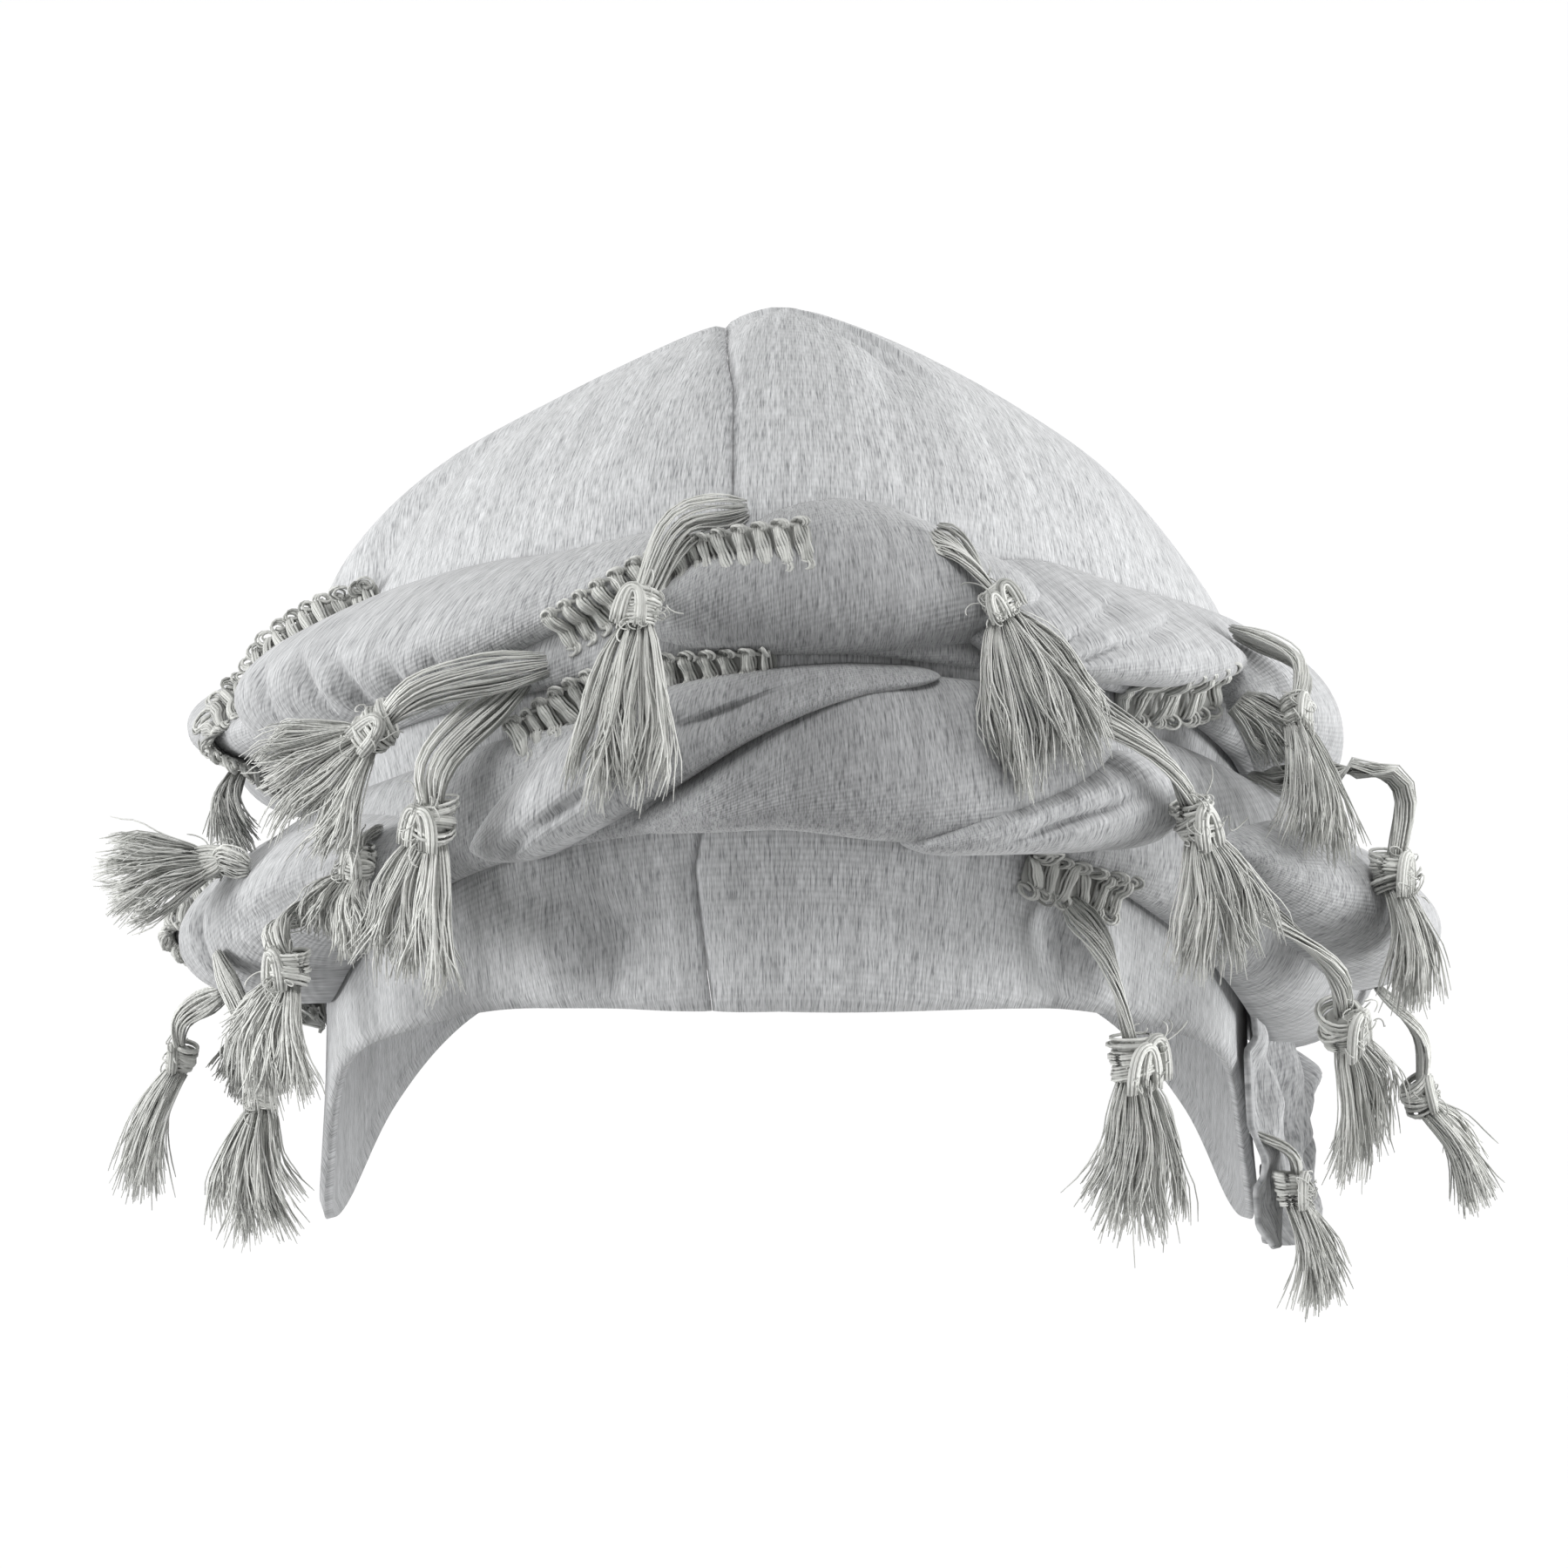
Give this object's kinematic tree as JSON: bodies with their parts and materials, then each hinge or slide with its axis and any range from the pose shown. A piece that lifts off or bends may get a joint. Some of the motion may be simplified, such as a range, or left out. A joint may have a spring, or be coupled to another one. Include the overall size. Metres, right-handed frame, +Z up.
{
  "type": "turban cap with wound scarf, braid trim and tassels",
  "caption": "Soft jersey turban cap: pointed crown, twisted scarf wound round the brow, ribbed braid edging and knotted thread tassels.",
  "frame": {"origin": "the crown's inner apex, where the top of the head sits", "axes": "+Z up; the brow faces -Y; +X is the right side seen from the front"},
  "size_m": [0.2497, 0.2337, 0.1836],
  "materials": {
    "jersey": "heather grey cotton jersey, matt, fine vertical marl",
    "braid": "ribbed gimp braid in grey thread",
    "thread": "soft silky grey thread"
  },
  "bodies": {
    "root": {"crown_panel_left": "jersey", "crown_panel_right": "jersey", "upper_twist": "jersey", "lower_twist": "jersey", "scarf_end": "jersey", "braid_front": "braid", "braid_front_low": "braid", "braid_left_upper": "braid", "braid_left_lower": "braid", "braid_right": "braid", "braid_right_low": "braid", "tassel_01": "thread", "tassel_02": "thread", "tassel_03": "thread", "tassel_04": "thread", "tassel_05": "thread", "tassel_06": "thread", "tassel_07": "thread", "tassel_08": "thread", "tassel_09": "thread", "tassel_10": "thread", "tassel_11": "thread", "tassel_12": "thread", "tassel_13": "thread", "tassel_14": "thread", "tassel_15": "thread", "tassel_16": "thread"}
  },
  "joints": []
}
